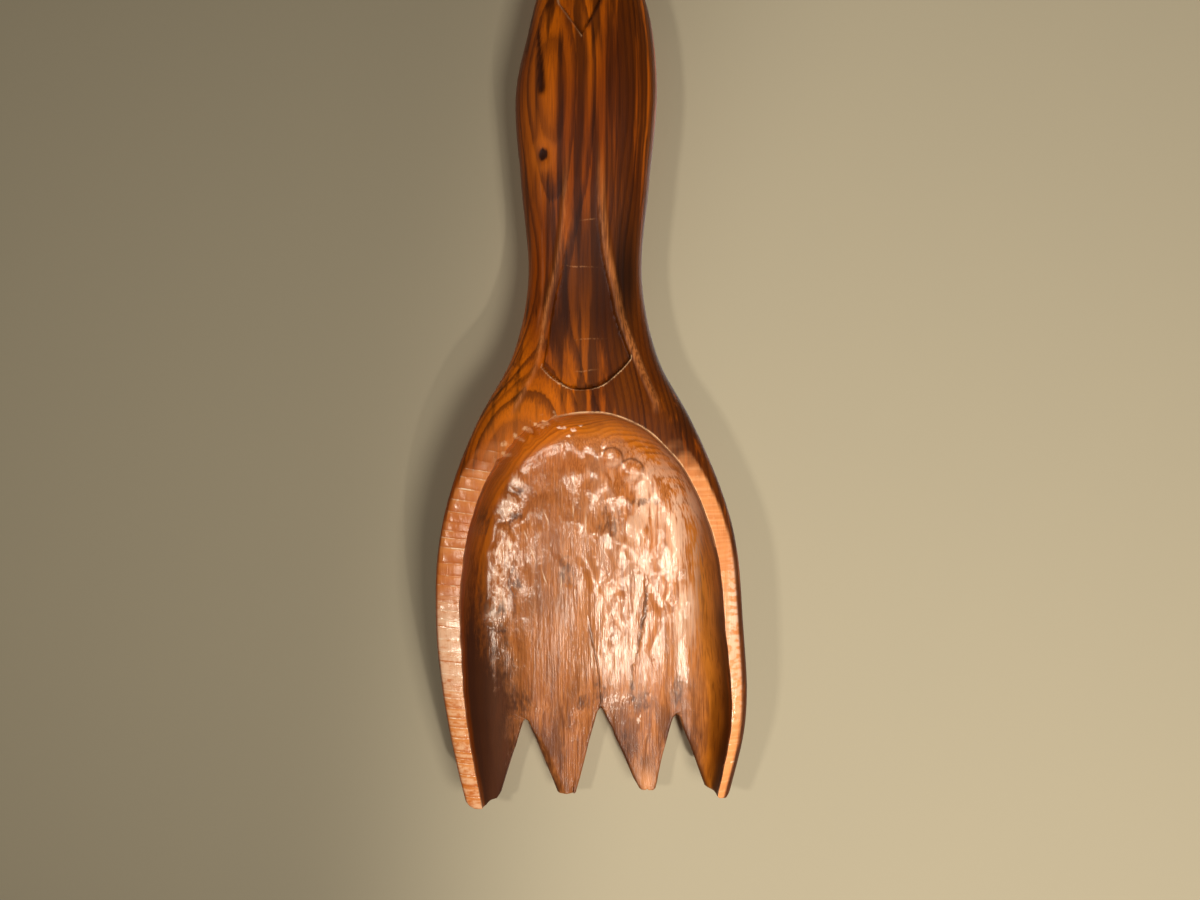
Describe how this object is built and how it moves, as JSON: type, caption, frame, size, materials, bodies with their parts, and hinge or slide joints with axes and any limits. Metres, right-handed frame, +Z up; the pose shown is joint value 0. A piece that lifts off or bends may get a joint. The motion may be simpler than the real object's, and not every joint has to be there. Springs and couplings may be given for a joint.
{
  "type": "wall fork",
  "caption": "Large carved wooden wall fork with a gouged scoop head, blunt tines and a waisted, relief-carved handle, hung by a swinging ring on its back.",
  "frame": {"origin": "the hang point, inside the top of the hanger ring as it stands when the fork hangs on a hook", "axes": "+Z up along the fork, +Y into the wall, +X to the right for someone who looks at the fork on the wall"},
  "size_m": [0.1346, 0.0479, 0.6097],
  "materials": {
    "carved_wood": "oiled and varnished orange-brown softwood with strong grain, gouge marks in the hollow and knife marks on the rim",
    "hanger_steel": "dull zinc plate, yellowed with age",
    "screw_steel": "zinc plate with dark slots",
    "felt": "pressed dark brown wool felt"
  },
  "bodies": {
    "fork": {"fork_body": "carved_wood", "hanger_strap": "hanger_steel", "hanger_screw_upper": "screw_steel", "hanger_screw_lower": "screw_steel", "bumper_left": "felt", "bumper_right": "felt"},
    "ring": {"hanger_ring": "hanger_steel"}
  },
  "joints": [
    {"name": "ring_swing", "type": "hinge", "parent": "fork", "child": "ring", "pos_m": [0, 0.00137, -0.01644], "axis": [-1, 0, 0], "range_deg": [0, 178]}
  ]
}
